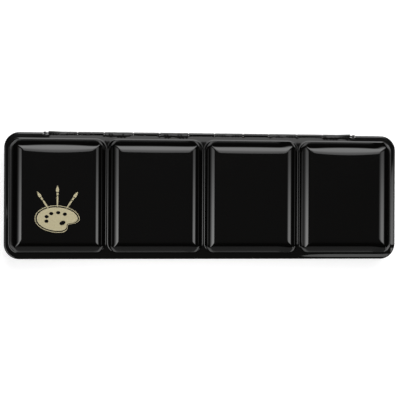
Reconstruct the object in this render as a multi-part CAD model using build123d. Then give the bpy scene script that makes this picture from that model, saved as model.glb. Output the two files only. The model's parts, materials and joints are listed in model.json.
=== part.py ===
from build123d import *
import os
from math import atan2, cos, radians, sin, sqrt

os.makedirs("parts", exist_ok=True)

# Metal watercolour box, closed, in millimetres.
# +X runs to the right along the box, +Y to the hinge at the back, +Z up.
# The origin is on the table, under the middle of the box's overall outline.

# The lid seen from above
lid_length = 231.0
lid_depth = 73.4
lid_corner = 8.9
closed_height = 22.0
skirt_depth = 7.0

# Lacquered tinplate
sheet = 0.35
edge_bend = 0.9

# The four pressed mixing wells, which stand up as panels outside
well_count = 4
well_groove = 1.25
side_rim = 3.3
front_rim = 3.25
back_rim = 4.1
well_corner = 5.7
foot_bend = 0.8
wall_angle = 72.0
wall_straight = 0.3
shoulder_radius = 6.2

# Tray under the lid
lid_fit_gap = 0.25
joggle_gap = 0.4
tray_top_gap = 0.3
foot_edge = 1.5
foot_width = 6.0
floor_lift = 0.8

# Rolled hinge along the back
wire_radius = 0.5
wire_fit = 0.05
long_knuckle = 17.1
short_knuckle = 15.2
long_knuckle_count = 6
knuckle_gap = 0.35
hinge_shift = -1.2
back_overhang = 0.4
back_lip = 0.1
notch_gap = 0.3
corner_relief = 0.6
wall_drop = 0.3
tray_curl_turn = 275.0
lid_curl_turn = 265.0
wire_bare_end = 1.0
wire_flat_length = 1.6
wire_flat_width = 1.6
wire_flat_thickness = 0.65
wire_end_room = 0.8

# Half pans and the paint in them
pan_width = 16.4
pan_length = 19.4
pan_spacing = 1.2
row_end_room = 7.0
pan_height = 9.6
pan_lip_height = 0.9
pan_lip_width = 0.35
pan_draft_width = 0.4
pan_wall = 0.8
pan_floor = 1.0
pan_corner = 1.6
pan_fit = 0.15
paint_below_rim = 1.3
paint_edge = 0.5
paint_gap = 0.05

# Sheet rack that carries the pans
rack_sheet = 0.4
rack_floor_clear = 0.3
rack_side_gap = 0.1
channel_width = 24.0
rail_height = 4.0
tongue_height = 7.4
tongue_width = 7.0
rack_corner = 7.0
lift_hole_radius = 2.6

# Thumb ring folded into the underside
ring_wire_radius = 0.8
ring_fit = 0.06
ring_half_width = 11.0
ring_arm = 12.0
ring_bend = 3.0
clip_sheet = 0.45
clip_width = 10.0
clip_foot = 7.0
clip_turn = 250.0
recess_roof = 3.0
recess_clear = 1.2
recess_back_gap = 0.4
recess_corner = 2.0

# How far cutting and joining solids run past each other
past = 1.0

# Places worked out from the sizes above
wire_hole = wire_radius + wire_fit
knuckle_radius = wire_hole + sheet
hinge_reach = knuckle_radius - back_overhang
overall_depth = lid_depth + hinge_reach
front_y = -overall_depth / 2
back_y = front_y + lid_depth
axis_y = back_y - back_overhang

wall_sin = sin(radians(wall_angle))
wall_cos = cos(radians(wall_angle))
well_run = (foot_bend + shoulder_radius) * wall_sin + wall_straight * wall_cos
well_rise = (foot_bend + shoulder_radius) * (1 - wall_cos) + wall_straight * wall_sin
rim_top = closed_height - well_rise
axis_z = rim_top - knuckle_radius
skirt_bottom = rim_top - skirt_depth

well_length = (lid_length - 2 * side_rim - (well_count - 1) * well_groove) / well_count
well_depth = lid_depth - front_rim - back_rim
well_mid_y = front_y + front_rim + well_depth / 2
well_pitch = well_length + well_groove

hinge_pairs = long_knuckle_count - 1
hinge_length = long_knuckle_count * long_knuckle + hinge_pairs * short_knuckle
hinge_start = hinge_shift - hinge_length / 2
knuckle_pitch = long_knuckle + short_knuckle
hinge_room = wire_bare_end + wire_flat_length + wire_end_room
hinge_low_x = hinge_start - hinge_room
hinge_high_x = hinge_start + hinge_length + hinge_room

lid_inset = sheet + lid_fit_gap
tray_back_y = axis_y - wire_hole
joggle_z = skirt_bottom - joggle_gap
tray_top = rim_top - sheet - tray_top_gap

clip_radius = ring_wire_radius + ring_fit + clip_sheet
ring_z = recess_roof - clip_radius
ring_span = ring_arm + ring_half_width
ring_x = -ring_span / 2
recess_left = ring_x - clip_radius - recess_back_gap
recess_right = ring_x + ring_span + ring_wire_radius + recess_clear
recess_depth = 2 * (ring_half_width + ring_wire_radius + recess_clear)

rack_floor_top = recess_roof + sheet + rack_floor_clear + rack_sheet
rack_inset = foot_edge + rack_side_gap
rack_length = lid_length - 2 * (lid_inset + rack_inset)
rack_front_y = front_y + lid_inset + rack_inset
rack_back_y = tray_back_y - rack_inset
rack_mid_y = (rack_back_y + rack_front_y) / 2
pan_pitch = pan_width + pan_spacing
pans_per_row = int((rack_length - 2 * row_end_room) / pan_pitch)
row_length = pans_per_row * pan_pitch
pan_body_length = pan_length - 2 * pan_lip_width
row_offset = channel_width / 2 + rack_sheet + pan_fit + pan_body_length / 2


def save(shape, node):
    """Write one sub-part, named after its node."""
    shape.label = node
    export_step(shape, "parts/" + node + ".step")


def block(x_low, x_high, y_low, y_high, z_low, z_high):
    """A plain block between two corners."""
    size = (x_high - x_low, y_high - y_low, z_high - z_low)
    middle = ((x_high + x_low) / 2, (y_high + y_low) / 2, (z_high + z_low) / 2)
    return Pos(*middle) * Box(*size)


def rounded_block(x_low, x_high, y_low, y_high, z_low, z_high, corner):
    """A block whose four upright edges are rounded."""
    outline = RectangleRounded(x_high - x_low, y_high - y_low, corner)
    place = Pos((x_high + x_low) / 2, (y_high + y_low) / 2, z_low)
    return place * extrude(outline, z_high - z_low)


def ring_sector(inner, outer, start, turn, length):
    """A curl of sheet around the X axis. Angles run from +Y towards +Z."""
    path = []
    for radius in (inner, outer):
        points = []
        for share in (0.0, 0.5, 1.0):
            angle = radians(start + turn * share)
            points.append((radius * cos(angle), radius * sin(angle)))
        path.append(points)
    inside, outside = path
    edges = [
        ThreePointArc(*inside),
        Line(inside[2], outside[2]),
        ThreePointArc(*outside),
        Line(outside[0], inside[0]),
    ]
    face = make_face(edges)
    section = Plane(origin=(0, 0, 0), x_dir=(0, 1, 0), z_dir=(1, 0, 0))
    return Pos(-length / 2, 0, 0) * extrude(section * face, length)


def well_profile(skin):
    """Points and centres of the pressed wall, from its foot to its shoulder.

    The first number is the distance in from the well's outline and the second
    the height over the rim. skin is 0 on the outer face of the sheet.
    """
    foot = foot_bend + skin
    foot_start = (0.0, -skin)
    foot_mid = (foot * sin(radians(wall_angle / 2)), foot_bend - foot * cos(radians(wall_angle / 2)))
    foot_end = (foot * wall_sin, foot_bend - foot * wall_cos)
    wall_end = (foot_end[0] + wall_straight * wall_cos, foot_end[1] + wall_straight * wall_sin)
    centre = (well_run, well_rise - shoulder_radius)
    return foot_start, foot_mid, foot_end, wall_end, centre, shoulder_radius - skin


def shoulder_point(centre, radius, inward):
    """A point of the shoulder at a distance in from the well's outline."""
    return inward, centre[1] + sqrt(radius ** 2 - (centre[0] - inward) ** 2)


def shoulder_arc(start, centre, radius, end):
    """The middle point of the shoulder's arc between two of its points."""
    first = atan2(start[1] - centre[1], start[0] - centre[0])
    last = atan2(end[1] - centre[1], end[0] - centre[0])
    angle = (first + last) / 2
    return centre[0] + radius * cos(angle), centre[1] + radius * sin(angle)


def well_prism(width, depth, skin, bottom):
    """A bar with the well's full profile across it, running along Y."""
    foot_start, foot_mid, foot_end, wall_end, centre, radius = well_profile(skin)
    top = (centre[0], centre[1] + radius)
    middle = shoulder_arc(wall_end, centre, radius, top)

    def left(point):
        return point[0] - width / 2, point[1]

    def right(point):
        return width / 2 - point[0], point[1]

    edges = []
    for side in (left, right):
        edges += [
            Line(side((0.0, bottom)), side(foot_start)),
            ThreePointArc(side(foot_start), side(foot_mid), side(foot_end)),
            Line(side(foot_end), side(wall_end)),
            ThreePointArc(side(wall_end), side(middle), side(top)),
        ]
    edges.append(Line(left(top), right(top)))
    edges.append(Line(left((0.0, bottom)), right((0.0, bottom))))
    section = Plane(origin=(0, 0, 0), x_dir=(1, 0, 0), z_dir=(0, -1, 0))
    bar = extrude(section * make_face(edges), depth)
    return Pos(0, depth / 2, 0) * bar


def well_corner_piece(skin, bottom):
    """A quarter turn of the well's profile, for the quadrant +X, +Y."""
    foot_start, foot_mid, foot_end, wall_end, centre, radius = well_profile(skin)
    last = shoulder_point(centre, radius, well_corner)
    middle = shoulder_arc(wall_end, centre, radius, last)

    def out(point):
        return well_corner - point[0], point[1]

    edges = [
        Line(out((0.0, bottom)), out(foot_start)),
        ThreePointArc(out(foot_start), out(foot_mid), out(foot_end)),
        Line(out(foot_end), out(wall_end)),
        ThreePointArc(out(wall_end), out(middle), out(last)),
        Line(out(last), (0.0, bottom)),
        Line((0.0, bottom), out((0.0, bottom))),
    ]
    section = Plane(origin=(0, 0, 0), x_dir=(1, 0, 0), z_dir=(0, -1, 0))
    return revolve(section * make_face(edges), Axis.Z, 90)


def well_solid(skin, bottom):
    """One pressed panel as a solid: mitred sides with turned corners."""
    across = well_prism(well_length, well_depth, skin, bottom)
    along = Rot(0, 0, 90) * well_prism(well_depth, well_length, skin, bottom)
    panel = across & along
    corner_x = well_length / 2 - well_corner
    corner_y = well_depth / 2 - well_corner
    reach = 2 * well_corner
    turned = well_corner_piece(skin, bottom)
    for quarter, (side_x, side_y) in enumerate(((1, 1), (-1, 1), (-1, -1), (1, -1))):
        middle = (side_x * (corner_x + reach / 2), side_y * (corner_y + reach / 2), 0)
        panel -= Pos(*middle) * Box(reach, reach, 2 * closed_height)
        panel += Pos(side_x * corner_x, side_y * corner_y, 0) * Rot(0, 0, 90 * quarter) * turned
    return panel


def well_places():
    """The middles of the wells, from left to right."""
    first = -(well_count - 1) / 2 * well_pitch
    return [(first + index * well_pitch, well_mid_y) for index in range(well_count)]


def lid_skin(skin, bottom):
    """The lid's outer face, or the face inside it, as a filled solid."""
    half = lid_length / 2 - skin
    top = rim_top - skin
    body = rounded_block(-half, half, front_y + skin, back_y - skin, bottom, top, lid_corner - skin)
    rim_edges = body.edges().group_by(Axis.Z)[-1]
    body = fillet(rim_edges, edge_bend - skin)
    panel = well_solid(skin, -skin - sheet)
    for x, y in well_places():
        body += Pos(x, y, rim_top) * panel
    return body


def knuckles(long_ones):
    """The middle and length of each knuckle that belongs to one half of the hinge."""
    places = []
    if long_ones:
        for index in range(long_knuckle_count):
            middle = hinge_start + index * knuckle_pitch + long_knuckle / 2
            places.append((middle, long_knuckle - knuckle_gap))
    else:
        for index in range(hinge_pairs):
            middle = hinge_start + index * knuckle_pitch + long_knuckle + short_knuckle / 2
            places.append((middle, short_knuckle - knuckle_gap))
    return places


def make_lid():
    """Pressed lid: rim, four wells, skirt and the long knuckles."""
    lid = lid_skin(0.0, skirt_bottom) - lid_skin(sheet, skirt_bottom - past)
    lip_z = axis_z - back_lip
    relief_y = back_y - lid_corner - corner_relief
    lid -= block(-lid_length, lid_length, relief_y, back_y + past, skirt_bottom - past, lip_z)
    notch_y = axis_y - knuckle_radius - notch_gap
    lid -= block(hinge_low_x, hinge_high_x, notch_y, back_y + past, 0, closed_height)
    for middle, length in knuckles(True):
        curl = ring_sector(wire_hole, knuckle_radius, 90 - lid_curl_turn, lid_curl_turn, length)
        tab = block(-length / 2, length / 2, notch_y - axis_y, 0, wire_hole, knuckle_radius)
        lid += Pos(middle, axis_y, axis_z) * (curl + tab)
    return lid


def tray_skin(skin, top):
    """The tray's outer face, or the face inside it, as a filled solid."""
    half = lid_length / 2 - skin
    low = rounded_block(
        -half, half, front_y + skin, tray_back_y - skin, skin, joggle_z - skin, lid_corner - skin
    )
    floor_edges = low.edges().group_by(Axis.Z)[0]
    low = fillet(floor_edges, foot_edge - skin)
    half -= lid_inset
    high = rounded_block(
        -half,
        half,
        front_y + lid_inset + skin,
        tray_back_y - skin,
        joggle_z - skin - past,
        top,
        lid_corner - lid_inset - skin,
    )
    return low + high


def floor_presses():
    """The lifted floor panel and the ring's recess: limits, roof and corner radius."""
    half = lid_length / 2 - foot_width
    recess_half = recess_depth / 2
    return (
        (-half, half, front_y + foot_width, tray_back_y - foot_width, floor_lift, lid_corner),
        (recess_left, recess_right, -recess_half, recess_half, recess_roof, recess_corner),
    )


def make_base_tray():
    """Stamped tray: stepped wall, lifted floor, ring recess and the short knuckles."""
    tray = tray_skin(0.0, tray_top) - tray_skin(sheet, tray_top + past)
    for x_low, x_high, y_low, y_high, roof, corner in floor_presses():
        tray += rounded_block(
            x_low - sheet,
            x_high + sheet,
            y_low - sheet,
            y_high + sheet,
            sheet / 2,
            roof + sheet,
            corner + sheet,
        )
    for x_low, x_high, y_low, y_high, roof, corner in floor_presses():
        tray -= rounded_block(x_low, x_high, y_low, y_high, -past, roof, corner)
    low_top = axis_z - knuckle_radius - wall_drop
    wall_y = tray_back_y - sheet - past
    tray -= block(hinge_low_x, hinge_high_x, wall_y, back_y + past, low_top, closed_height)
    for middle, length in knuckles(False):
        curl = ring_sector(wire_hole, knuckle_radius, 180 - tray_curl_turn, tray_curl_turn, length)
        wall = block(-length / 2, length / 2, -knuckle_radius, -wire_hole, low_top - axis_z, 0)
        tray += Pos(middle, axis_y, axis_z) * (curl + wall)
    return tray


def make_hinge_wire():
    """The wire through all the knuckles, flattened at both ends so that it stays in."""
    round_length = hinge_length + 2 * wire_bare_end
    wire = Rot(0, 90, 0) * Cylinder(wire_radius, round_length)
    for side in (-1, 1):
        end = Box(wire_flat_length, wire_flat_width, wire_flat_thickness)
        end = fillet(end.edges().filter_by(Axis.Z), wire_flat_length / 4)
        wire += Pos(side * (round_length + wire_flat_length) / 2, 0, 0) * end
    return Pos(hinge_shift, axis_y, axis_z) * wire


def pan_places():
    """The middle of each pan, the front row first, from left to right."""
    places = []
    for side in (-1, 1):
        for index in range(pans_per_row):
            x = (index - (pans_per_row - 1) / 2) * pan_pitch
            places.append((x, side * row_offset + rack_mid_y))
    return places


def make_pan_rack():
    """Folded sheet rack: floor, skirt legs, rails and the spring tongues at each pan."""
    half = rack_length / 2
    floor_low = rack_floor_top - rack_sheet
    rack = rounded_block(-half, half, rack_front_y, rack_back_y, sheet, rack_floor_top, rack_corner)
    rack -= rounded_block(
        -half + rack_sheet,
        half - rack_sheet,
        rack_front_y + rack_sheet,
        rack_back_y - rack_sheet,
        sheet - past,
        floor_low,
        rack_corner - rack_sheet,
    )
    hole_x = (half + row_length / 2) / 2
    for side in (-1, 1):
        rack -= Pos(side * hole_x, rack_mid_y, floor_low) * Cylinder(lift_hole_radius, past + rack_sheet)
    near = row_offset - pan_body_length / 2 - pan_fit - rack_sheet
    far = row_offset + pan_body_length / 2 + pan_fit
    rail_half = row_length / 2 + rack_sheet
    for side in (-1, 1):
        for place in (near, far):
            low, high = sorted((side * place, side * (place + rack_sheet)))
            low += rack_mid_y
            high += rack_mid_y
            rack += block(-rail_half, rail_half, low, high, floor_low, rack_floor_top + rail_height)
            for index in range(pans_per_row):
                x = (index - (pans_per_row - 1) / 2) * pan_pitch
                rack += block(
                    x - tongue_width / 2,
                    x + tongue_width / 2,
                    low,
                    high,
                    rack_floor_top,
                    rack_floor_top + tongue_height,
                )
        for end in (-1, 1):
            x_low, x_high = sorted((end * row_length / 2, end * rail_half))
            y_low, y_high = sorted((side * near, side * (far + rack_sheet)))
            rack += block(
                x_low,
                x_high,
                y_low + rack_mid_y,
                y_high + rack_mid_y,
                floor_low,
                rack_floor_top + rail_height,
            )
    return rack


def make_half_pan():
    """Moulded plastic half pan with a lip, standing on the origin."""
    body_width = pan_width - 2 * pan_lip_width
    foot = Rectangle(body_width - 2 * pan_draft_width, pan_body_length - 2 * pan_draft_width)
    foot = fillet(foot.vertices(), pan_corner)
    under_lip = pan_height - pan_lip_height
    head = Pos(0, 0, under_lip) * RectangleRounded(body_width, pan_body_length, pan_corner)
    body = loft([foot.face(), head.face()], ruled=True)
    lip_outline = RectangleRounded(pan_width, pan_length, pan_corner + pan_lip_width)
    pan = body + Pos(0, 0, under_lip) * extrude(lip_outline, pan_lip_height)
    return pan - paint_space(pan_height + past, 0.0)


def paint_space(top, gap):
    """The tapered space inside a pan up to a height, less a gap all round."""
    body_width = pan_width - 2 * pan_lip_width
    slope = pan_draft_width / (pan_height - pan_lip_height)
    faces = []
    for z in (pan_floor + gap, top):
        inset = pan_wall + gap + slope * (pan_height - pan_lip_height - z)
        outline = RectangleRounded(
            body_width - 2 * inset, pan_body_length - 2 * inset, pan_corner - pan_wall / 2
        )
        faces.append((Pos(0, 0, z) * outline).face())
    return loft(faces, ruled=True)


def make_paint():
    """The cake of paint poured into a half pan, with a rounded upper edge."""
    cake = paint_space(pan_height - paint_below_rim, paint_gap)
    upper = cake.edges().group_by(Axis.Z)[-1]
    return fillet(upper, paint_edge)


def make_thumb_ring():
    """The wire ring, folded flat, with its hinge bar along Y."""
    half = ring_half_width
    slant = ring_bend * (1 - cos(radians(45)))
    bar_low = (0, -half + ring_bend, 0)
    bar_high = (0, half - ring_bend, 0)
    arm_low = (ring_bend, -half, 0)
    arm_high = (ring_bend, half, 0)
    bow_low = (ring_arm, -half, 0)
    bow_high = (ring_arm, half, 0)
    path = Wire(
        [
            Edge.make_line(bar_low, bar_high),
            Edge.make_three_point_arc(bar_high, (slant, half - slant, 0), arm_high),
            Edge.make_line(arm_high, bow_high),
            Edge.make_three_point_arc(bow_high, (ring_arm + half, 0, 0), bow_low),
            Edge.make_line(bow_low, arm_low),
            Edge.make_three_point_arc(arm_low, (slant, -half + slant, 0), bar_low),
        ]
    )
    section = Plane(origin=bar_low, z_dir=(0, 1, 0)) * Circle(ring_wire_radius)
    ring = sweep(section, path=path)
    return Pos(ring_x, 0, ring_z) * ring


def make_thumb_ring_clip():
    """The strap that loops round the ring's bar and lies along the recess."""
    hole = ring_wire_radius + ring_fit
    loop = ring_sector(hole, clip_radius, 90, clip_turn, clip_width)
    loop = Rot(0, 0, -90) * loop
    foot = block(0, clip_foot, -clip_width / 2, clip_width / 2, hole, clip_radius)
    return Pos(ring_x, 0, ring_z) * (loop + foot)


if __name__ == "__main__":
    save(make_base_tray(), "base_tray")
    save(make_lid(), "lid")
    save(make_hinge_wire(), "hinge_wire")
    save(make_pan_rack(), "pan_rack")
    save(make_thumb_ring(), "thumb_ring")
    save(make_thumb_ring_clip(), "thumb_ring_clip")
    half_pan = make_half_pan()
    paint = make_paint()
    for number, (x, y) in enumerate(pan_places(), start=1):
        place = Pos(x, y, rack_floor_top)
        save(place * half_pan, f"half_pan_{number:02d}")
        save(place * paint, f"paint_{number:02d}")
    print("rim top", round(rim_top, 2), "hinge axis", round(axis_y, 3), round(axis_z, 3))
    print("overall depth", round(overall_depth, 2), "well", round(well_length, 2), round(well_depth, 2))
    print("well run and rise", round(well_run, 2), round(well_rise, 2))
    print("ring axis", round(ring_x, 2), round(ring_z, 2), "tray top", round(tray_top, 2))
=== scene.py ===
# %% [markdown]
# # A black tin watercolour box, dressed in Blender
#
# The box is a stamped tin: a lid with four pressed mixing wells that stand up as panels outside, a tray,
# a long wire hinge, a rack of half pans and a folding thumb ring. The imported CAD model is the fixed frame.
# Every size below is in millimetres and is worked out from that frame; MM turns it into Blender's metres.

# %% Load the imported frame
import json
import math

import bmesh
import bpy
from mathutils import Matrix, Vector, noise
from mathutils.bvhtree import BVHTree
from mathutils.geometry import delaunay_2d_cdt


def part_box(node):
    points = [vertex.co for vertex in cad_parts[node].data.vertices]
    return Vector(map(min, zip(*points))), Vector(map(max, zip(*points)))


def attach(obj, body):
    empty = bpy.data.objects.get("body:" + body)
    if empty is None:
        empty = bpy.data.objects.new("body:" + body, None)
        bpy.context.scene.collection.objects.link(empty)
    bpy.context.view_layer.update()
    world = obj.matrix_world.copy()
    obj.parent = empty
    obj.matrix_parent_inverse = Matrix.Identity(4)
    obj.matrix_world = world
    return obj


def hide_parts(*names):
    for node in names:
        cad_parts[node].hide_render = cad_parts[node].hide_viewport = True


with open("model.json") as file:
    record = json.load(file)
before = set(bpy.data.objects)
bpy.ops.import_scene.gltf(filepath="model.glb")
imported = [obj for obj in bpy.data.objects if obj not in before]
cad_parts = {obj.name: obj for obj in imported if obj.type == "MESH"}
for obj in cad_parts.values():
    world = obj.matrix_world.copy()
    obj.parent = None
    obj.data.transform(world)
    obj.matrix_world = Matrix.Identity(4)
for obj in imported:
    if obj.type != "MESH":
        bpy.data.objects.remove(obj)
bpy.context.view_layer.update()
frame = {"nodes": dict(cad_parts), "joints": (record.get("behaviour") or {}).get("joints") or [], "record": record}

MM = 0.001
joint_place = {joint["name"]: [value / MM for value in joint["pos_m"]] for joint in frame["joints"]}
hinge_x, hinge_y, hinge_z = joint_place["lid_hinge"]
print("hinge axis at", round(hinge_y, 3), round(hinge_z, 3))

# %% [markdown]
# ## The camera
#
# The photograph looks almost straight down from a little left of the middle, so the right ends of the
# panels hide a trace more than the left ends. A long lens keeps the box's edges straight. The place and
# the turn come from fitting the lid's corners and grooves; the lens is for a square picture.

# %% Camera over the lid
camera_lens = bpy.data.cameras.new("lid_camera")
camera_lens.lens = 92.62
camera_lens.sensor_width = 36.0
camera_lens.clip_start = 0.01
camera_lens.clip_end = 50.0
lid_camera = bpy.data.objects.new("lid_camera", camera_lens)
lid_camera.location = (-0.06689, -0.00239, 0.61688)
lid_camera.rotation_euler = (-0.000318, -0.107687, 0.004752)
bpy.context.scene.collection.objects.link(lid_camera)
bpy.context.scene.camera = lid_camera
bpy.context.scene.view_settings.view_transform = "Standard"
print("camera height over the table", round(lid_camera.location.z / MM), "mm")

# %% [markdown]
# ## Materials as small node graphs
#
# A finish is made from a Principled shader, a little noise for what no factory controls, and a bump.
# One helper lays these nodes down, so each finish below only says what is special about it.

# %% A plain finish
def new_finish(name, colour, roughness, metallic=0.0):
    """A material with a Principled shader; returns the material, its nodes, links and shader."""
    finish = bpy.data.materials.new(name)
    finish.use_nodes = True
    nodes = finish.node_tree.nodes
    shader = nodes["Principled BSDF"]
    shader.inputs["Base Color"].default_value = (*colour, 1.0)
    shader.inputs["Roughness"].default_value = roughness
    shader.inputs["Metallic"].default_value = metallic
    finish.diffuse_color = (*colour, 1.0)
    return finish, nodes, finish.node_tree.links, shader


# %% Noise for drift and bump
def noise_node(nodes, links, scale, detail=3.0, stretch=(1.0, 1.0, 1.0)):
    """Noise in the object's own coordinates; scale counts cells per metre."""
    place = nodes.new("ShaderNodeTexCoord")
    mapping = nodes.new("ShaderNodeMapping")
    mapping.inputs["Scale"].default_value = stretch
    texture = nodes.new("ShaderNodeTexNoise")
    texture.inputs["Scale"].default_value = scale
    texture.inputs["Detail"].default_value = detail
    links.new(place.outputs["Object"], mapping.inputs["Vector"])
    links.new(mapping.outputs["Vector"], texture.inputs["Vector"])
    return texture


def map_range(nodes, links, value, source, target):
    """A value carried over from one range to another."""
    spread = nodes.new("ShaderNodeMapRange")
    for name, number in zip(("From Min", "From Max", "To Min", "To Max"), (*source, *target)):
        spread.inputs[name].default_value = number
    links.new(value, spread.inputs["Value"])
    return spread


def vary_roughness(nodes, links, shader, texture, low, high):
    """Roughness that drifts between two values with a noise."""
    noise_range = (0.3, 0.7)
    spread = map_range(nodes, links, texture.outputs["Fac"], noise_range, (low, high))
    links.new(spread.outputs["Result"], shader.inputs["Roughness"])


def add_bump(nodes, links, shader, texture, distance):
    """A bump of a depth in metres from a noise."""
    bump = nodes.new("ShaderNodeBump")
    bump.inputs["Distance"].default_value = distance
    bump.inputs["Strength"].default_value = 1.0
    links.new(texture.outputs["Fac"], bump.inputs["Height"])
    links.new(bump.outputs["Normal"], shader.inputs["Normal"])


def vary_colour(nodes, links, shader, texture, dark, light):
    """Colour that drifts between two values with a noise."""
    noise_range = (0.35, 0.65)
    ramp = nodes.new("ShaderNodeValToRGB")
    for mark, place, colour in zip(ramp.color_ramp.elements, noise_range, (dark, light)):
        mark.position = place
        mark.color = (*colour, 1.0)
    links.new(texture.outputs["Fac"], ramp.inputs["Fac"])
    links.new(ramp.outputs["Color"], shader.inputs["Base Color"])


# %% [markdown]
# ## The floor and the backdrop
#
# The box stands on plain white. A floor that is white by light alone would need so much of it that
# white parts of the box would burn out, so half of the white is a glow that only the camera, mirrors and
# glass see. What is left to the lamps still darkens under the box, which keeps its shadow. Further out the
# sheet falls off slowly to a pale gray, so the lacquer mirrors no hard edge of it.

# %% White floor that keeps the shadow
floor_reach = 6.0
floor_mesh = bpy.data.meshes.new("floor")
floor_signs = ((-1, -1), (1, -1), (1, 1), (-1, 1))
floor_corners = [(floor_reach * side_x, floor_reach * side_y, 0) for side_x, side_y in floor_signs]
floor_mesh.from_pydata(floor_corners, [], [(0, 1, 2, 3)])
floor = bpy.data.objects.new("floor", floor_mesh)
bpy.context.scene.collection.objects.link(floor)
print("floor", 2 * floor_reach, "m wide")


# %% Helpers for light that depends on the ray
def math_node(nodes, links, operation, first, second):
    """One arithmetic node; its inputs are sockets or numbers."""
    node = nodes.new("ShaderNodeMath")
    node.operation = operation
    for socket, value in zip(node.inputs, (first, second)):
        if isinstance(value, (int, float)):
            socket.default_value = value
        else:
            links.new(value, socket)
    return node.outputs[0]


def seen_directly(nodes, links):
    """1 for camera, glossy and transmission rays, else 0."""
    path = nodes.new("ShaderNodeLightPath")
    rays = math_node(nodes, links, "MAXIMUM", path.outputs["Is Camera Ray"], path.outputs["Is Glossy Ray"])
    return math_node(nodes, links, "MAXIMUM", rays, path.outputs["Is Transmission Ray"])


# %% How white the sheet is
white_reach = 0.16
gray_reach = 1.1
gray_share = 0.62


def sheet_whiteness(nodes, links):
    """1 on the white sheet under the box, falling slowly to a pale gray further out."""
    place = nodes.new("ShaderNodeTexCoord")
    reach = nodes.new("ShaderNodeVectorMath")
    reach.operation = "LENGTH"
    links.new(place.outputs["Object"], reach.inputs[0])
    fade = map_range(nodes, links, reach.outputs["Value"], (white_reach, gray_reach), (1.0, gray_share))
    fade.interpolation_type = "SMOOTHSTEP"
    return fade.outputs["Result"]


# %% The floor's paper
lit_level = 0.66
glow_level = 0.63
floor_paper = bpy.data.materials.new("floor_paper")
floor_paper.use_nodes = True
paper_nodes = floor_paper.node_tree.nodes
paper_links = floor_paper.node_tree.links
paper_nodes.clear()
paper_out = paper_nodes.new("ShaderNodeOutputMaterial")
paper_lit = paper_nodes.new("ShaderNodeBsdfDiffuse")
paper_glow = paper_nodes.new("ShaderNodeEmission")
paper_white = sheet_whiteness(paper_nodes, paper_links)
lit_share = math_node(paper_nodes, paper_links, "MULTIPLY", paper_white, lit_level)
glow_part = math_node(paper_nodes, paper_links, "MULTIPLY", paper_white, glow_level)
direct_rays = seen_directly(paper_nodes, paper_links)
glow_share = math_node(paper_nodes, paper_links, "MULTIPLY", glow_part, direct_rays)
paper_sum = paper_nodes.new("ShaderNodeAddShader")
paper_links.new(lit_share, paper_lit.inputs["Color"])
paper_links.new(glow_share, paper_glow.inputs["Strength"])
paper_links.new(paper_lit.outputs[0], paper_sum.inputs[0])
paper_links.new(paper_glow.outputs[0], paper_sum.inputs[1])
paper_links.new(paper_sum.outputs[0], paper_out.inputs["Surface"])
floor_mesh.materials.append(floor_paper)
print("white as far as", white_reach, "m, pale gray from", gray_reach, "m")

# %% [markdown]
# ## The studio
#
# Black lacquer has hardly any colour of its own: what shows is where the lamps lie. The panels are dark
# because nothing bright is overhead. Their shoulders are drawn by three long lamps: a low board that stands
# close at the left, a large box far out and high on the right, and one that leans over from behind. Each is
# graded along its length, so the strips of light have soft ends. A dim card in front and a small window at
# the right front catch the rim. The world is dark but for the horizon and a faint patch straight overhead.

# %% Backdrop: pale at the horizon, dark above it
def gray_ramp(nodes, stops, easing):
    """A ramp of grays from (place, level) stops."""
    ramp = nodes.new("ShaderNodeValToRGB")
    ramp.color_ramp.interpolation = easing
    marks = ramp.color_ramp.elements
    for mark, (place, level) in zip((marks[0], marks[1]), (stops[0], stops[-1])):
        mark.position = place
        mark.color = (level, level, level, 1.0)
    for place, level in stops[1:-1]:
        marks.new(place).color = (level, level, level, 1.0)
    return ramp


sky_levels = ((0.0, 0.30), (0.03, 0.04), (0.09, 0.012), (0.80, 0.012), (0.93, 0.07), (1.0, 0.085))
world = bpy.data.worlds.new("studio")
bpy.context.scene.world = world
world.use_nodes = True
world_nodes = world.node_tree.nodes
world_links = world.node_tree.links
sky = world_nodes["Background"]
sky_place = world_nodes.new("ShaderNodeTexCoord")
sky_split = world_nodes.new("ShaderNodeSeparateXYZ")
sky_ramp = gray_ramp(world_nodes, sky_levels, "LINEAR")
world_links.new(sky_place.outputs["Generated"], sky_split.inputs[0])
world_links.new(sky_split.outputs["Z"], sky_ramp.inputs["Fac"])
world_links.new(sky_ramp.outputs["Color"], sky.inputs["Color"])
print("sky with", len(sky_levels), "levels of gray")


# %% A soft box
def soft_box(name, middle, aim, width, height, radiance):
    """A rectangular lamp that mirrors show; width lies across, height along the aim's slope."""
    lamp_data = bpy.data.lights.new(name, "AREA")
    lamp_data.shape = "RECTANGLE"
    lamp_data.size = width
    lamp_data.size_y = height
    lamp_data.energy = radiance * math.pi * width * height
    lamp = bpy.data.objects.new(name, lamp_data)
    lamp.location = middle
    facing = Vector(aim) - Vector(middle)
    lamp.rotation_euler = facing.to_track_quat("-Z", "Y").to_euler()
    lamp.visible_camera = False
    bpy.context.scene.collection.objects.link(lamp)
    print(name, "radiance", radiance, "area", round(width * height, 3))
    return lamp


def strip_box(name, near, far, width, radiance):
    """A soft box that spans two points of its long axis and faces the box on the table."""
    along = Vector(far) - Vector(near)
    middle = (Vector(near) + Vector(far)) / 2
    lamp = soft_box(name, middle, (0, 0, 0), width, along.length, radiance)
    up = along.normalized()
    side = Vector((-up.y, up.x, 0.0)).normalized()
    back = side.cross(up)
    if back.dot(middle) < 0:
        side = -side
        back = -back
    lamp.rotation_euler = Matrix((side, up, back)).transposed().to_euler()
    return lamp


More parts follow.
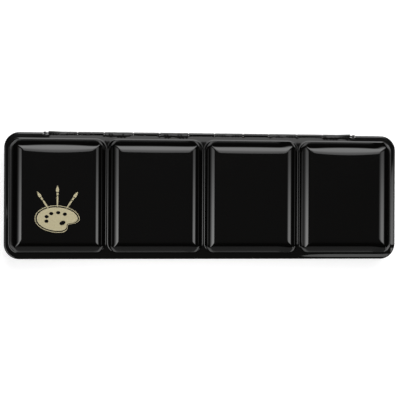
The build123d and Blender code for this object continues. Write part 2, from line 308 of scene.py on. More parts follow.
# %% A graded lamp
def shade_lamp(lamp, gradients):
    """Lamp brightness that changes along lines: each has a start, an end and (place, share) stops."""
    lamp.data.use_nodes = True
    nodes = lamp.data.node_tree.nodes
    links = lamp.data.node_tree.links
    glow = next(node for node in nodes if node.type == "EMISSION")
    place = nodes.new("ShaderNodeNewGeometry")
    total = None
    for start, end, stops in gradients:
        line = Vector(end) - Vector(start)
        shift = nodes.new("ShaderNodeVectorMath")
        shift.operation = "SUBTRACT"
        shift.inputs[1].default_value = start
        share = nodes.new("ShaderNodeVectorMath")
        share.operation = "DOT_PRODUCT"
        share.inputs[1].default_value = line / line.length_squared
        ramp = gray_ramp(nodes, stops, "EASE")
        links.new(place.outputs["Position"], shift.inputs[0])
        links.new(shift.outputs["Vector"], share.inputs[0])
        links.new(share.outputs["Value"], ramp.inputs["Fac"])
        factor = ramp.outputs["Color"]
        total = factor if total is None else math_node(nodes, links, "MULTIPLY", total, factor)
    links.new(total, glow.inputs["Strength"])


# %% The left board
left_near, left_far = (-0.225, -0.10, 0.50), (-0.178, -0.10, 0.07)
left_board = strip_box("left_board", left_near, left_far, width=0.31, radiance=5.2)
shade_lamp(left_board, [
    (left_near, left_far, [(0.0, 0.0), (0.25, 1.0), (0.60, 1.0), (1.0, 0.0)]),
    ((0.0, 0.055, 0.0), (0.0, -0.055, 0.0), [(0.0, 0.30), (1.0, 1.0)]),
])

# %% The right soft box
right_near, right_far = (0.60, -0.06, 1.52), (1.62, -0.06, 1.22)
right_box = strip_box("right_soft_box", right_near, right_far, width=0.50, radiance=3.9)
shade_lamp(right_box, [
    (right_near, right_far, [(0.0, 0.0), (0.30, 1.0), (0.60, 1.0), (1.0, 0.0)]),
    ((0.0, 0.14, 0.0), (0.0, -0.10, 0.0), [(0.0, 0.30), (1.0, 1.0)]),
])

# %% The back soft box
back_near, back_far = (0.12, 0.105, 1.0), (0.12, 1.0, 0.34)
back_box = strip_box("back_soft_box", back_near, back_far, width=0.66, radiance=4.4)
shade_lamp(back_box, [
    (back_near, back_far, [(0.0, 0.42), (0.05, 0.42), (0.35, 1.0), (0.75, 1.0), (1.0, 0.0)]),
])

# %% Front card and window
card_place, card_aim = (0.0, -1.1, 0.28), (0.0, 0.0, 0.28)
soft_box("front_card", card_place, card_aim, width=1.8, height=0.56, radiance=0.27)
window_place, window_aim = (0.85, -0.85, 0.34), (0.0, 0.0, 0.34)
soft_box("right_window", window_place, window_aim, width=0.36, height=0.62, radiance=1.5)

# %% [markdown]
# ## Lacquer and enamel
#
# Tin boxes are printed flat, stoved and then stamped. Outside is black gloss lacquer: nearly no colour, a
# sharp reflection and a trace of orange peel. Inside is white stoved enamel, the surface paint is mixed on.
# It is duller than the lacquer and never quite even.

# %% Black stoved lacquer
black_lacquer, nodes, links, shader = new_finish("black_lacquer", (0.0014, 0.0013, 0.0012), 0.05)
shader.inputs["IOR"].default_value = 1.5
lacquer_drift = noise_node(nodes, links, 60.0)
vary_roughness(nodes, links, shader, lacquer_drift, 0.035, 0.06)
orange_peel = noise_node(nodes, links, 450.0, detail=1.0)
add_bump(nodes, links, shader, orange_peel, 0.0000008)
print(black_lacquer.name, "with", len(nodes), "nodes")

# %% White stoved enamel
white_enamel, nodes, links, shader = new_finish("white_enamel", (0.76, 0.76, 0.74), 0.30)
shader.inputs["IOR"].default_value = 1.5
enamel_drift = noise_node(nodes, links, 35.0)
vary_colour(nodes, links, shader, enamel_drift, (0.73, 0.73, 0.71), (0.78, 0.78, 0.76))
vary_roughness(nodes, links, shader, enamel_drift, 0.285, 0.36)
enamel_flow = noise_node(nodes, links, 300.0, detail=1.0)
add_bump(nodes, links, shader, enamel_flow, 0.000006)
print(white_enamel.name, "with", len(nodes), "nodes")

# %% [markdown]
# ## Sheet metal as skins
#
# A pressed lid is one sheet bent in many places. A cage with subdivision could be pulled into that shape,
# but its bends would be rounded by eye. So it is laid out as rows of points: a row runs round the lid, and
# the next row lies a little further out or down. Quads join the rows, and every bend keeps its radius.

# %% Skins made of rows
def new_skin():
    """An empty skin: points in millimetres, faces and the finish of each face."""
    return {"points": [], "faces": [], "finishes": []}


def add_rows(skin, rows, closed=True, finish=0):
    """Quads between rows. Rows run anticlockwise seen from outside, each one outside the one before."""
    first = len(skin["points"])
    count = len(rows[0])
    for row in rows:
        skin["points"].extend(row)
    spans = count if closed else count - 1
    for level in range(len(rows) - 1):
        inner = first + level * count
        outer = inner + count
        for index in range(spans):
            after = (index + 1) % count
            skin["faces"].append((inner + index, outer + index, outer + after, inner + after))
            skin["finishes"].append(finish)


def add_faces(skin, points, faces, finish=0):
    """Points and faces that are ready made."""
    first = len(skin["points"])
    skin["points"].extend(points)
    skin["faces"].extend([tuple(first + index for index in face) for face in faces])
    skin["finishes"].extend([finish] * len(faces))


# %% [markdown]
# ## From a skin to a piece
#
# Points that share a place are welded, and a Solidify modifier gives the skin its real thickness. A second
# skin inside would do the same, but Solidify keeps the thickness even round the bends and puts the enamel
# on the inner side in one step. Edges that turn by more than a set angle stay sharp, all others are smooth.

# %% From a skin to a piece
sharp_from = 40.0


def piece_from_skin(name, skin, finishes, thickness=0.0, weld=0.002):
    """A mesh object of a skin, welded, thickened inwards and smoothed up to a sharp angle."""
    mesh = bpy.data.meshes.new(name)
    mesh.from_pydata([Vector(point) * MM for point in skin["points"]], [], skin["faces"])
    for polygon, finish in zip(mesh.polygons, skin["finishes"]):
        polygon.material_index = finish
    shape = bmesh.new()
    shape.from_mesh(mesh)
    bmesh.ops.remove_doubles(shape, verts=shape.verts, dist=weld * MM)
    bmesh.ops.dissolve_degenerate(shape, edges=shape.edges, dist=weld * MM / 2)
    shape.to_mesh(mesh)
    shape.free()
    for finish in finishes:
        mesh.materials.append(finish)
    piece = bpy.data.objects.new(name, mesh)
    bpy.context.scene.collection.objects.link(piece)
    if thickness:
        thicken = piece.modifiers.new("sheet", "SOLIDIFY")
        thicken.thickness = thickness * MM
        thicken.offset = -1.0
        thicken.use_even_offset = True
        thicken.use_quality_normals = True
        thicken.material_offset = 1
        graph = bpy.context.evaluated_depsgraph_get()
        piece.data = bpy.data.meshes.new_from_object(piece.evaluated_get(graph))
        piece.modifiers.clear()
        bpy.data.meshes.remove(mesh)
    piece.data.shade_smooth()
    piece.data.set_sharp_from_angle(angle=math.radians(sharp_from))
    print(name, len(piece.data.polygons), "faces")
    return piece


# %% [markdown]
# ## Rounded rectangles
#
# Lid, wells and cakes of paint are all rectangles with round corners. One walk round such an outline gives
# each point and the direction outwards there. Loops with the same number of steps join without a seam, so
# a well can shrink to a line and a skirt can drop straight down with plain quads.

# %% Rounded loops and soft steps
def rounded_loop(half_x, half_y, corner, corner_steps, x_steps, y_steps, middle):
    """Round a rectangle with round corners, anticlockwise: x, y and the direction outwards."""
    loop = []
    quarters = ((1, 1, 0), (-1, 1, 90), (-1, -1, 180), (1, -1, 270))
    for number, (side_x, side_y, start) in enumerate(quarters):
        centre_x = middle[0] + side_x * (half_x - corner)
        centre_y = middle[1] + side_y * (half_y - corner)
        for step in range(corner_steps + 1):
            angle = math.radians(start + 90 * step / corner_steps)
            out_x, out_y = math.cos(angle), math.sin(angle)
            loop.append((centre_x + corner * out_x, centre_y + corner * out_y, out_x, out_y))
        last = loop[-1]
        along_x = number % 2 == 0
        steps = x_steps if along_x else y_steps
        length = 2 * ((half_x if along_x else half_y) - corner)
        for step in range(1, steps):
            shift = length * step / steps
            loop.append((last[0] - last[3] * shift, last[1] + last[2] * shift, last[2], last[3]))
    return loop


def smooth_step(low, high, value):
    """0 below low, 1 above high and a soft rise between."""
    share = min(1.0, max(0.0, (value - low) / (high - low)))
    return share * share * (3 - 2 * share)


# %% [markdown]
# ## The lid's sizes
#
# The lid's outline, its height and its four wells are those of the CAD lid. The grooves and rims differ by
# a few tenths, as read off the reflections in the picture. What a solid model leaves plain is added: a
# slight crown on each panel, the drawn middle of its back shoulder, the lean of the rims and the crease
# that rolling the hinge leaves in the sheet.

# %% Sizes of the lid
sheet = 0.35
edge_bend = 0.9
knuckle_radius = 0.9
knuckle_overhang = 0.4
lid_low, lid_high = (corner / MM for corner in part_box("lid"))
rim_top = hinge_z + knuckle_radius
lid_half_x = lid_high.x
lid_front = lid_low.y
lid_back = hinge_y + knuckle_overhang
lid_half_y = (lid_back - lid_front) / 2
lid_middle_y = (lid_back + lid_front) / 2
lid_corner = 8.9
skirt_bottom = lid_low.z
lid_top = lid_high.z

well_count = 4
well_groove = 1.35
side_rim = 3.3
front_rim = 3.9
back_rim = 3.8
well_corner = 5.7
well_half_x = (2 * lid_half_x - 2 * side_rim - (well_count - 1) * well_groove) / well_count / 2
well_half_y = (2 * lid_half_y - front_rim - back_rim) / 2
well_pitch = 2 * well_half_x + well_groove
well_middle_y = lid_front + front_rim + well_half_y
well_middles = [(index - (well_count - 1) / 2) * well_pitch for index in range(well_count)]
print("rim top", round(rim_top, 2), "well", round(2 * well_half_x, 2), "x", round(2 * well_half_y, 2))

# %% [markdown]
# ## The section of a well
#
# A well is drawn over a punch, so its section is a chain of bends. Seen from outside a soft foot rises from
# the rim to a short, nearly upright wall; a tight brow turns it into a long flat chamfer, and a wide
# shoulder eases that into the panel. In black gloss each part mirrors another stretch of the studio: wall
# and chamfer stay black and the shoulder carries the strip of light, so the chain is fitted to the strips.

# %% Profile of a pressed well
well_run = 8.6
foot_start = -0.60
foot_bend = 1.5
foot_angle = 27.0
wall_bend = 0.15
wall_angle = 84.0
wall_run = 0.08
brow_bend = 0.12
chamfer_angle = 41.0
shoulder_radius = 7.5
crest_angle = 8.0
crest_radius = 16.0
panel_crown = 0.06


def add_bend(points, radius, angle_from, angle_to, steps):
    """Points of a bend on from the last point; the surface's slope goes between two angles."""
    side = 1 if angle_to > angle_from else -1
    run_start, rise_start = points[-1]
    sine_from, cosine_from = math.sin(math.radians(angle_from)), math.cos(math.radians(angle_from))
    for step in range(1, steps + 1):
        angle = math.radians(angle_from + (angle_to - angle_from) * step / steps)
        run = side * radius * (math.sin(angle) - sine_from)
        points.append((run_start + run, rise_start + side * radius * (cosine_from - math.cos(angle))))


def add_straight(points, run, angle):
    """A straight stretch of a run and a slope."""
    points.append((points[-1][0] + run, points[-1][1] + run * math.tan(math.radians(angle))))


def well_profile():
    """Distance in from the outline and height over the rim: foot, wall, brow, chamfer and shoulder."""
    points = [(foot_start, 0.0)]
    add_bend(points, foot_bend, 0.0, foot_angle, 5)
    add_bend(points, wall_bend, foot_angle, wall_angle, 5)
    add_straight(points, wall_run, wall_angle)
    add_bend(points, brow_bend, wall_angle, chamfer_angle, 4)
    crest_sine = math.sin(math.radians(crest_angle))
    chamfer_sine = math.sin(math.radians(chamfer_angle))
    shoulder_run = shoulder_radius * (chamfer_sine - crest_sine) + crest_radius * crest_sine
    add_straight(points, well_run - shoulder_run - points[-1][0], chamfer_angle)
    add_bend(points, shoulder_radius, chamfer_angle, crest_angle, 11)
    add_bend(points, crest_radius, crest_angle, 0.0, 5)
    return points


well_rise = well_profile()[-1][1]
rise_share = (lid_top - rim_top - panel_crown) / well_rise
print("well run", round(well_run, 2), "rise", round(well_rise, 2), "share kept", round(rise_share, 3))

# %% [markdown]
# ## The rim and its crease at the hinge
#
# The rim leans back to a crease in front of the hinge, where the real sheet gave way as the knuckles were
# rolled. The front and side rims lean a little too, because stamped sheet never comes out quite flat. The
# height is one function of x and y, so every row of the skin can ask for it where it stands.

# %% Sizes of the hinge
long_knuckle = 17.1
short_knuckle = 15.2
long_knuckle_count = 6
knuckle_gap = 0.7
notch_gap = 0.3
notch_end_room = 0.15
tab_steps = 12
hinge_length = long_knuckle_count * long_knuckle + (long_knuckle_count - 1) * short_knuckle
hinge_start = hinge_x - hinge_length / 2
wire_low, wire_high = (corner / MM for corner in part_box("hinge_wire"))
hinge_low = wire_low.x - notch_end_room
hinge_high = wire_high.x + notch_end_room
notch_y = hinge_y - knuckle_radius - notch_gap
well_back = well_middle_y + well_half_y


def knuckle_spans():
    """Low and high x of each of the lid's own knuckles, which are the long ones."""
    pitch = long_knuckle + short_knuckle
    starts = [hinge_start + index * pitch + knuckle_gap / 2 for index in range(long_knuckle_count)]
    return [(low, low + long_knuckle - knuckle_gap) for low in starts]


def tab_places(low, high):
    """Places along a tab from its high end to its low end."""
    return [high - (high - low) * step / tab_steps for step in range(tab_steps + 1)]


print("hinge", round(hinge_length, 1), "long with", len(knuckle_spans()), "lid knuckles")

# %% Lean and crease of the rim
rim_tilt = math.tan(math.radians(1.0))
tilt_start = well_back - 1.2
crease_back = 0.14
crease_width = 0.12
crease_waves = ((0.06, 7.3), (0.09, 23.0))
crease_end_fade = (1.0, 7.0)
tab_tilt = math.tan(math.radians(1.4))
lean_from_edge = 1.1
lean_to_well = 0.7
front_lean = 0.29
front_lean_span = (22.0, 80.0)
front_lean_fade = (1.5, 6.0)
right_lean = 0.13
right_lean_fade = (10.0, 28.0)
left_lean = 0.12
left_lean_middle = -10.0
left_lean_spread = 13.0


def crease_place(x):
    """Where the sheet folded as the knuckles were rolled: a line that wanders along the hinge."""
    return notch_y + crease_back + sum(reach * math.sin(x / length) for reach, length in crease_waves)


def lean_share(distance, width):
    """How far a place is over a rim of a width, from its outer edge (0) to the well (1)."""
    return min(1.0, max(0.0, distance / (width - lean_from_edge - lean_to_well)))


def rim_height(x, y):
    """The rim's height: it leans back to a crease in front of the hinge, and sags a little elsewhere."""
    fade_start, fade_end = crease_end_fade
    zone = smooth_step(hinge_low + fade_start, hinge_low + fade_end, x)
    zone *= 1 - smooth_step(hinge_high - fade_end, hinge_high - fade_start, x)
    crease = crease_place(x)
    way = max(0.0, min(y, crease) - tilt_start)
    change = -rim_tilt * way
    tab_height = tab_tilt * max(0.0, hinge_y - max(y, crease + crease_width))
    change += (tab_height - change) * smooth_step(crease, crease + crease_width, y)
    change *= zone
    front_way = lean_share(y - lid_front - lean_from_edge, front_rim)
    front_way *= 1 - smooth_step(*front_lean_fade, y - lid_front - front_rim)
    change -= front_lean * smooth_step(*front_lean_span, x) * front_way
    side_way = lean_share(abs(x) - lid_half_x + side_rim - lean_to_well, side_rim)
    if x > 0:
        change -= right_lean * side_way * (1 - smooth_step(*right_lean_fade, y))
    else:
        change -= left_lean * side_way * math.exp(-(((y - left_lean_middle) / left_lean_spread) ** 2))
    return rim_top + change


print("rim sinks by", front_lean, "at the right end of the front")

# %% [markdown]
# ## The outline of the rim
#
# The rim is a frame with four rounded windows and a comb of tabs at the back. Its outlines are worked out
# as lists of points first, because the edge bend, the wells and the knuckles later start from the very
# same points. That is what lets them weld into one sheet.

# %% The lid's outer edge and the rim's outline
shoulder_corner = 0.6
corner_reach = 3.4
flat_hold = 0.05
band_width = 1.4
band_steps = 5
band_fade = (12.0, 27.0)


def steps_between(low, high, spacing):
    """Values from low to high, both included, about spacing apart."""
    count = max(1, round(abs(high - low) / spacing))
    return [low + (high - low) * step / count for step in range(count + 1)]


def edge_places():
    """Round the lid from the left end of the hinge notch to its right end, on the rim."""
    half_x = lid_half_x - edge_bend
    half_y = lid_half_y - edge_bend
    corner = lid_corner - edge_bend
    middle = (0.0, lid_middle_y)
    loop = rounded_loop(half_x, half_y, corner, corner_steps=16, x_steps=76, y_steps=22, middle=middle)
    back = lid_back - edge_bend
    in_notch = [
        index
        for index, (x, y, _, _) in enumerate(loop)
        if abs(y - back) < 1e-6 and hinge_low <= x <= hinge_high
    ]
    before = loop[: in_notch[0]]
    after = loop[in_notch[-1] + 1 :]
    return [(hinge_low, back, 0.0, 1.0)] + after + before + [(hinge_high, back, 0.0, 1.0)]


def notch_places():
    """The comb of tabs from the right end of the notch to its left end."""
    places = [(hinge_high, notch_y)]
    for low, high in reversed(knuckle_spans()):
        places += [(x, notch_y) for x in steps_between(places[-1][0], high, 3.0)[1:]]
        places += [(x, hinge_y) for x in tab_places(low, high)]
        places.append((low, notch_y))
    places += [(x, notch_y) for x in steps_between(places[-1][0], hinge_low, 3.0)[1:]]
    return places


def well_loop(middle_x, inward, corner):
    """A loop round one well at a distance in from its outline."""
    half_x = well_half_x - inward
    half_y = well_half_y - inward
    middle = (middle_x, well_middle_y)
    return rounded_loop(half_x, half_y, corner, corner_steps=12, x_steps=24, y_steps=28, middle=middle)


def well_corner_at(inward):
    """The corner's radius: it tightens fast on the way up, as it does over a punch."""
    if inward < 0:
        return well_corner - inward
    share = max(0.0, 1 - inward / corner_reach)
    return shoulder_corner + (well_corner - shoulder_corner) * share**1.4


def band_place(place, share):
    """A place a share of the way in over the rim's outer band, which is wide in front and at the sides."""
    x, y, nx, ny = place
    reach = flat_hold + share * band_width * (1 - smooth_step(*band_fade, y))
    return x - nx * reach, y - ny * reach


edge = edge_places()
rim_outline = [band_place(place, 1.0) for place in edge] + notch_places()
window_start = foot_start - flat_hold
well_outlines = [
    [(x, y) for x, y, _, _ in well_loop(middle, window_start, well_corner_at(window_start))]
    for middle in well_middles
]
print("rim outline", len(rim_outline), "points, well outlines", len(well_outlines[0]))


# %% [markdown]
# ## Filling the rim
#
# A flat face with holes could be cut with a Boolean, but that leaves long thin triangles that black gloss
# shows at once. A constrained Delaunay triangulation keeps the outline and makes even triangles. It also
# fills the windows, so triangles whose middle lies in a window or outside the rim are thrown away.

# %% Fill an outline with windows
def is_inside(x, y, outline):
    """Whether a place lies inside a closed outline."""
    inside = False
    last_x, last_y = outline[-1]
    for next_x, next_y in outline:
        if (next_y > y) != (last_y > y):
            if x < (last_x - next_x) * (y - next_y) / (last_y - next_y) + next_x:
                inside = not inside
        last_x, last_y = next_x, next_y
    return inside


def fill_outline(outline, windows, loose):
    """Triangles inside an outline and outside its windows, with loose points between."""
    places = []
    edges = []
    for loop in [outline] + windows:
        first = len(places)
        places += [Vector(place) for place in loop]
        edges += [(first + index, first + (index + 1) % len(loop)) for index in range(len(loop))]
    places += [Vector(place) for place in loose]
    points, _, faces, _, _, _ = delaunay_2d_cdt(places, edges, [], 0, 1e-5)
    kept = []
    for face in faces:
        x = sum(points[index].x for index in face) / 3
        y = sum(points[index].y for index in face) / 3
        if not is_inside(x, y, outline) or any(is_inside(x, y, window) for window in windows):
            continue
        a, b, c = (points[index] for index in face)
        turn = (b - a).cross(c - a)
        kept.append(tuple(face) if turn > 0 else tuple(reversed(face)))
    return [(point.x, point.y) for point in points], kept


def loose_hinge_points():
    """Rows of points in front of the hinge and on its tabs, for the lean and the crease."""
    rim_rows = (33.3, 33.8, 34.1, 34.3, 34.5, 34.7)
    tab_rows = (34.95, 35.05, 35.15, 35.3, 35.5, 35.75)
    past_hinge = 6.0
    tab_margin = 0.5
    points = []
    for y in rim_rows:
        points += [(x, y) for x in steps_between(hinge_low - past_hinge, hinge_high + past_hinge, 2.0)]
    for low, high in knuckle_spans():
        for y in tab_rows:
            points += [(x, y) for x in steps_between(low + tab_margin, high - tab_margin, 1.6)]
    return points


rim_points, rim_faces = fill_outline(rim_outline, well_outlines, loose_hinge_points())
lid_skin = new_skin()
add_faces(lid_skin, [(x, y, rim_height(x, y)) for x, y in rim_points], rim_faces)
print("rim", len(rim_faces), "triangles")

# %% [markdown]
# ## Wells, skirt and knuckles of the lid
#
# A well is a stack of rounded loops that step in along its profile. The corners tighten on the way up, as
# they do over a punch. The back shoulders of the two end wells are drawn in a curve, those between them are
# nearly straight, and towards the right end the right shoulders lie a little flatter. The skirt is a
# quarter bend and a straight drop; at the back it is cut away so that the lid can swing past the tray.
# Each knuckle is the tab's sheet rolled on round the wire.

# %% The four wells
end_back_shape = (0.9, 1.3)
middle_back_shape = (0.15, 1.0)
back_hold_rise = (2.8, 8.0)
back_hold_fall = (9.2, 15.0)
back_hold_along = (0.5, 0.95)
lean_fade = 0.25
foot_reach = 0.15
right_ease = 0.22
ease_across = (0.9, 1.15)
crown_rise = (5.5, 8.0)
panel_insets = (well_half_x, 24.5, 21.5, 18.5, 15.5, 12.8, 11.2, 10.1, 9.2)


def panel_point(middle_x, x, y, inward, height):
    """A point of a panel, with its drawn shoulders, the crown on top and the rim's lean at its foot."""
    across = (x - middle_x) / (well_half_x - well_run)
    along = (y - well_middle_y) / (well_half_y - well_run)
    foot_lean = (rim_height(x, y) - rim_top) * (1 - smooth_step(0.0, lean_fade, inward))
    if inward > foot_reach:
        ease = right_ease * smooth_step(*ease_across, across)
        ease *= smooth_step(-well_pitch, well_pitch, middle_x)
        height = well_rise - (well_rise - height) * (1 - ease)
    back_hold = smooth_step(*back_hold_rise, inward) * (1 - smooth_step(*back_hold_fall, inward))
    back_hold *= smooth_step(*back_hold_along, along)
    back_draw, back_spread = end_back_shape if abs(middle_x) > well_pitch else middle_back_shape
    y -= (back_draw * (1 - min(1.0, across * across)) - back_spread) * back_hold
    crown = max(0.0, 1 - across * across) * max(0.0, 1 - along * along)
    top = rise_share * height + panel_crown * crown * smooth_step(*crown_rise, inward)
    return x, y, rim_top + top + foot_lean


def panel_rows(middle_x):
    """Rows of a well from its middle line out to its outline."""
    rows = []
    for inward in panel_insets:
        share = (well_half_x - inward) / (well_half_x - well_run)
        rows.append((inward, shoulder_corner * share, well_rise))
    for inward, height in reversed(well_profile()):
        rows.append((inward, well_corner_at(inward), height))
    rows.append((window_start, well_corner_at(window_start), 0.0))
    return [
        [panel_point(middle_x, x, y, inward, height) for x, y, _, _ in well_loop(middle_x, inward, corner)]
        for inward, corner, height in rows
    ]


for middle in well_middles:
    add_rows(lid_skin, panel_rows(middle))
print("wells at", [round(middle, 1) for middle in well_middles])

# %% The edge bend and the skirt
corner_relief = 0.6
relief_blend = 0.8
back_lip = 0.1
relief_y = lid_back - lid_corner - corner_relief
lip_bottom = hinge_z - back_lip
edge_steps = 6


def skirt_end(y):
    """The bottom of the skirt, which is cut away at the back."""
    return lip_bottom + (skirt_bottom - lip_bottom) * (1 - smooth_step(relief_y - relief_blend, relief_y, y))


edge_rows = []
for step in range(band_steps + 1):
    places = [band_place(place, 1 - step / band_steps) for place in edge]
    edge_rows.append([(x, y, rim_height(x, y)) for x, y in places])
for step in range(edge_steps + 1):
    angle = math.radians(90 * step / edge_steps)
    out = edge_bend * math.sin(angle)
    down = edge_bend * (1 - math.cos(angle))
    edge_rows.append([(x + nx * out, y + ny * out, rim_height(x, y) - down) for x, y, nx, ny in edge])
for share in (0.3, 0.65, 1.0):
    row = []
    for x, y, nx, ny in edge:
        start = rim_top - edge_bend
        row.append((x + nx * edge_bend, y + ny * edge_bend, start + (skirt_end(y) - start) * share))
    edge_rows.append(row)
add_rows(lid_skin, edge_rows, closed=False)
print("skirt from", round(rim_top - edge_bend, 2), "to", round(skirt_bottom, 2))

# %% The rolled knuckles of the lid
curl_flat = 0.3
curl_turn = 175.0
curl_steps = 16
curl_soft_steps = 8
flare_length = 9.0
flare_reach = 0.3
flare_levels = 10


def curl_profile():
    """The roll as places round the wire: flat on top, round at the back and under the wire."""
    soft = knuckle_radius - curl_flat
    points = [(curl_flat * step / 2, knuckle_radius) for step in range(3)]
    for step in range(1, curl_soft_steps + 1):
        angle = math.radians(90 - 90 * step / curl_soft_steps)
        points.append((curl_flat + soft * math.cos(angle), curl_flat + soft * math.sin(angle)))
    for step in range(curl_steps + 1):
        angle = math.radians(-curl_turn * step / curl_steps)
        points.append((knuckle_radius * math.cos(angle), knuckle_radius * math.sin(angle)))
    return points


def curl_rows(low, high):
    """Rows of one rolled knuckle: the last knuckles open a little towards the hinge's ends."""
    rows = []
    profile = curl_profile()
    for number, (back, up) in enumerate(profile):
        row = []
        for x in tab_places(low, high):
            distance = min(x - hinge_start, hinge_start + hinge_length - x)
            flare = flare_reach * (1 - smooth_step(0.0, flare_length, distance))
            grow = 1 + flare * smooth_step(0, flare_levels, number) / knuckle_radius
            row.append((x, hinge_y + back * grow, hinge_z + up * grow))
        rows.append(row)
    return rows


for low, high in knuckle_spans():
    add_rows(lid_skin, curl_rows(low, high), closed=False)
lid_shell = piece_from_skin("lid_shell", lid_skin, [black_lacquer, white_enamel], sheet)
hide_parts("lid")
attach(lid_shell, "lid")

# %% [markdown]
# ## A printed motif
#
# Tins like this carry a small pale gold print low on the first panel. Here it is a plain painter's motif:
# a palette with three brushes. Each part is a thin layer that follows the crowned panel, cut from outlines
# in the plane, so the print is real geometry and turns with the lid.

# %% Outline of the palette
motif_x, motif_y = -84.7, -13.6
palette_half_x, palette_half_y = 11.2, 7.0
palette_points = 96
bite_angle = math.radians(-38)
bite_depth = 0.40
bite_spread = 0.36


def oval(middle_x, middle_y, half_x, half_y, count, turn=0.0):
    """An oval, anticlockwise, turned by an angle in degrees."""
    cosine, sine = math.cos(math.radians(turn)), math.sin(math.radians(turn))
    places = []
    for step in range(count):
        angle = 2 * math.pi * step / count
        x, y = half_x * math.cos(angle), half_y * math.sin(angle)
        places.append((middle_x + x * cosine - y * sine, middle_y + x * sine + y * cosine))
    return places


def palette_outline(grow=0.0):
    """An oval board with a bite out of its lower right side."""
    places = []
    for step in range(palette_points):
        angle = 2 * math.pi * step / palette_points
        away = math.atan2(math.sin(angle - bite_angle), math.cos(angle - bite_angle))
        swell = 0.05 * math.cos(2 * angle + 0.6)
        reach = 1 - bite_depth * math.exp(-((away / bite_spread) ** 2)) + swell
        x = (palette_half_x + grow) * reach * math.cos(angle)
        y = (palette_half_y + grow) * reach * math.sin(angle)
        places.append((motif_x + x, motif_y + y))
    return places


paint_holes = []
for angle in (50, 86, 122, 158, 200):
    hole_x = motif_x + 6.6 * math.cos(math.radians(angle))
    hole_y = motif_y + 3.7 * math.sin(math.radians(angle))
    paint_holes.append(oval(hole_x, hole_y, 1.2, 0.95, 20))
thumb_hole = oval(motif_x + 2.9, motif_y - 2.2, 1.8, 1.2, 24, 25)
print("palette with", len(paint_holes), "wells")

# %% Outlines of a brush
def brush_parts(turn, shift):
    """Handle, ferrule and hair of a brush that points away from the palette's middle."""
    shapes = (
        [(-0.25, 8.6 + shift), (0.25, 8.6 + shift), (0.5, 12.5), (0.42, 14.6), (-0.42, 14.6), (-0.5, 12.5)],
        [(-0.45, 15.0), (0.45, 15.0), (0.58, 16.6), (-0.58, 16.6)],
        [
            (-0.6, 16.95), (0.6, 16.95), (0.88, 17.9), (0.76, 18.9), (0.38, 20.0),
            (0.0, 20.9), (-0.38, 20.0), (-0.76, 18.9), (-0.88, 17.9),
        ],
    )
    cosine, sine = math.cos(math.radians(turn)), math.sin(math.radians(turn))
    meeting_y = motif_y - 1.5
    return [
        [(motif_x + x * cosine - y * sine, meeting_y + x * sine + y * cosine) for x, y in shape]
        for shape in shapes
    ]


print("a brush has", len(brush_parts(0, 0.0)), "parts")

# %% Lay the motif on the panel
print_height = 0.02
print_depth = 0.06


def print_layer(skin, outline, windows=()):
    """A flat layer over the first panel, inside an outline and outside its windows."""
    low_x, high_x = min(x for x, _ in outline), max(x for x, _ in outline)
    low_y, high_y = min(y for _, y in outline), max(y for _, y in outline)
    loose = []
    for x in steps_between(low_x, high_x, 1.4)[1:-1]:
        for y in steps_between(low_y, high_y, 1.4)[1:-1]:
            if is_inside(x, y, outline) and not any(is_inside(x, y, window) for window in windows):
                loose.append((x, y))
    points, faces = fill_outline(outline, list(windows), loose)
    well_inside = well_run + 3
    top = [panel_point(well_middles[0], x, y, well_inside, well_rise) for x, y in points]
    add_faces(skin, [(x, y, z + print_height) for x, y, z in top], faces)


gold_print, nodes, links, shader = new_finish("gold_print", (0.40, 0.355, 0.215), 0.42)
print_grain = noise_node(nodes, links, 1500.0, detail=2.0)
vary_colour(nodes, links, shader, print_grain, (0.37, 0.325, 0.195), (0.43, 0.385, 0.235))
vary_roughness(nodes, links, shader, print_grain, 0.36, 0.5)
motif_skin = new_skin()
print_layer(motif_skin, palette_outline(), paint_holes + [thumb_hole])
print_layer(motif_skin, palette_outline(1.15), [palette_outline(0.75)])
for turn, shift in ((-34, 0.6), (0, 0.0), (34, 0.6)):
    for outline in brush_parts(turn, shift):
        print_layer(motif_skin, outline)
motif = piece_from_skin("printed_motif", motif_skin, [gold_print, gold_print], print_depth, weld=0.0005)
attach(motif, "lid")

# %% [markdown]
# ## The tray
#
# The tray keeps its CAD mesh: its floor, steps and knuckles are already right. It only needs two finishes,
# so each face is tested: what sees a place above the middle of the tray's floor is enamel, the rest and the
# hinge are lacquer.

# %% Two finishes on the tray
base_tray = frame["nodes"]["base_tray"]
base_tray.data.materials.clear()
base_tray.data.materials.append(black_lacquer)
base_tray.data.materials.append(white_enamel)
tray_shape = BVHTree.FromPolygons(
    [vertex.co.copy() for vertex in base_tray.data.vertices],
    [tuple(polygon.vertices) for polygon in base_tray.data.polygons],
)
tray_eye = Vector((0.0, 0.0, rim_top * MM * 0.8))
off_face = 0.02 * MM
enamel_count = 0
for polygon in base_tray.data.polygons:
    start = polygon.center + polygon.normal * off_face
    toward = tray_eye - start
    hit = tray_shape.ray_cast(start, toward.normalized(), toward.length)[0]
    in_hinge = polygon.center.y > (hinge_y - knuckle_radius + 0.05) * MM
    polygon.material_index = 1 if hit is None and not in_hinge else 0
    enamel_count += polygon.material_index
print("tray faces with enamel", enamel_count, "of", len(base_tray.data.polygons))

# %% [markdown]
# ## Metal and plastic
#
# The wire of the hinge is blackened, the rack is bright tinplate with the fine lines of rolling, the thumb
# ring is nickel plated and the pans are moulded in white plastic. All of them keep their CAD meshes, which
# have every bend already, and get a finish. Rolling lines are noise stretched along the sheet.

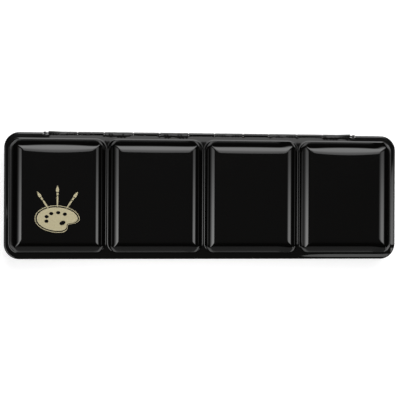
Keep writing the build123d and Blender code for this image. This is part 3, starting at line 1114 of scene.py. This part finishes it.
# %% Metals
black_wire, nodes, links, shader = new_finish("black_wire", (0.012, 0.012, 0.013), 0.22)
add_bump(nodes, links, shader, noise_node(nodes, links, 900.0), 0.00001)
tinplate, nodes, links, shader = new_finish("tinplate", (0.62, 0.62, 0.61), 0.3, metallic=1.0)
rolling_lines = noise_node(nodes, links, 900.0, detail=2.0, stretch=(0.02, 1.0, 1.0))
vary_roughness(nodes, links, shader, rolling_lines, 0.24, 0.38)
add_bump(nodes, links, shader, rolling_lines, 0.000004)
nickel, nodes, links, shader = new_finish("nickel_plate", (0.66, 0.65, 0.62), 0.16, metallic=1.0)
vary_roughness(nodes, links, shader, noise_node(nodes, links, 250.0), 0.12, 0.24)
metal_pieces = {
    "hinge_wire": black_wire,
    "pan_rack": tinplate,
    "thumb_ring": nickel,
    "thumb_ring_clip": nickel,
}
for node, finish in metal_pieces.items():
    frame["nodes"][node].data.materials.clear()
    frame["nodes"][node].data.materials.append(finish)
print("metals on the wire, rack, ring and clip")

# %% White plastic of the half pans
pan_plastic, nodes, links, shader = new_finish("pan_plastic", (0.80, 0.80, 0.79), 0.38)
plastic_grain = noise_node(nodes, links, 700.0, detail=2.0)
vary_roughness(nodes, links, shader, plastic_grain, 0.32, 0.45)
add_bump(nodes, links, shader, plastic_grain, 0.000008)
pan_numbers = range(1, 25)
for number in pan_numbers:
    pan = frame["nodes"][f"half_pan_{number:02d}"]
    pan.data.materials.clear()
    pan.data.materials.append(pan_plastic)
print(len(pan_numbers), "half pans")

# %% [markdown]
# ## Cakes of paint
#
# Artists' paint is poured wet into the pan and dries with a raised edge and a sunken middle. A bump in the
# material would show that only from far away, so each cake is a mesh of its own in the space of its CAD
# block. The noise that makes it uneven takes in the cake's number: no two are alike, and each run gives
# the same ones. Colours come from the record, and pool darker in the hollows of a noise.

# %% Finish of dried paint
record_colours = {entry["slot"]: entry["base_color"][:3] for entry in frame["record"]["materials"]}
paint_slots = {entry["node"]: entry["material_slot"] for entry in frame["record"]["subparts"]}


def paint_finish(slot):
    """A dried cake: its colour pools darker where it is thick."""
    colour = record_colours[slot]
    finish, nodes, links, shader = new_finish("paint_" + slot, colour, 0.55)
    pooling = noise_node(nodes, links, 260.0, detail=4.0)
    dark = tuple(0.7 * value for value in colour)
    light = tuple(min(1.0, 1.12 * value) for value in colour)
    vary_colour(nodes, links, shader, pooling, dark, light)
    vary_roughness(nodes, links, shader, pooling, 0.42, 0.68)
    add_bump(nodes, links, shader, noise_node(nodes, links, 1800.0), 0.00003)
    return finish


print(len(record_colours), "finishes in the record")

# %% Section of a cake
cake_corner = 1.2
cake_draft = 0.05
edge_drop = 0.14
middle_drop = 0.55
cake_section = (
    (5.0, middle_drop), (4.0, 0.53), (3.0, 0.48), (2.0, 0.38), (1.2, 0.24),
    (0.6, 0.08), (0.25, 0.0), (0.06, 0.03), (0.0, edge_drop),
)
sway_depth = 0.12
sway_scale = 0.35


def cake_loop(half_x, half_y, corner, middle):
    """A loop round a cake."""
    return rounded_loop(half_x, half_y, corner, corner_steps=5, x_steps=8, y_steps=10, middle=middle)


def cake_skin(number, low, high):
    """A cake with a thin raised edge, a sunken middle and its own soft unevenness."""
    half_x = (high.x - low.x) / 2
    half_y = (high.y - low.y) / 2
    middle = ((high.x + low.x) / 2, (high.y + low.y) / 2)
    rows = []
    for inset, drop in ((half_x, middle_drop), *cake_section):
        corner = max(0.0, cake_corner - 0.17 * inset)
        row = []
        for x, y, _, _ in cake_loop(half_x - inset, half_y - inset, corner, middle):
            sway = noise.noise(Vector((x * sway_scale + 7 * number, y * sway_scale, 0.3 * number)))
            row.append((x, y, high.z - drop - sway_depth * (0.5 + 0.5 * sway) * min(1.0, inset)))
        rows.append(row)
    depth = high.z - low.z
    for share in (0.5, 1.0):
        shrink = cake_draft * depth * share
        loop = cake_loop(half_x - shrink, half_y - shrink, cake_corner, middle)
        rows.append([(x, y, high.z - edge_drop - (depth - edge_drop) * share) for x, y, _, _ in loop])
    skin = new_skin()
    add_rows(skin, rows)
    last = len(skin["points"]) - len(rows[-1])
    skin["faces"].append(tuple(reversed(range(last, last + len(rows[-1])))))
    skin["finishes"].append(0)
    return skin


# %% Pour the cakes
for number in pan_numbers:
    node = f"paint_{number:02d}"
    low, high = (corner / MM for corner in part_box(node))
    finish = paint_finish(paint_slots[node])
    cake = piece_from_skin(f"cake_{number:02d}", cake_skin(number, low, high), [finish])
    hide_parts(node)
    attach(cake, "base")
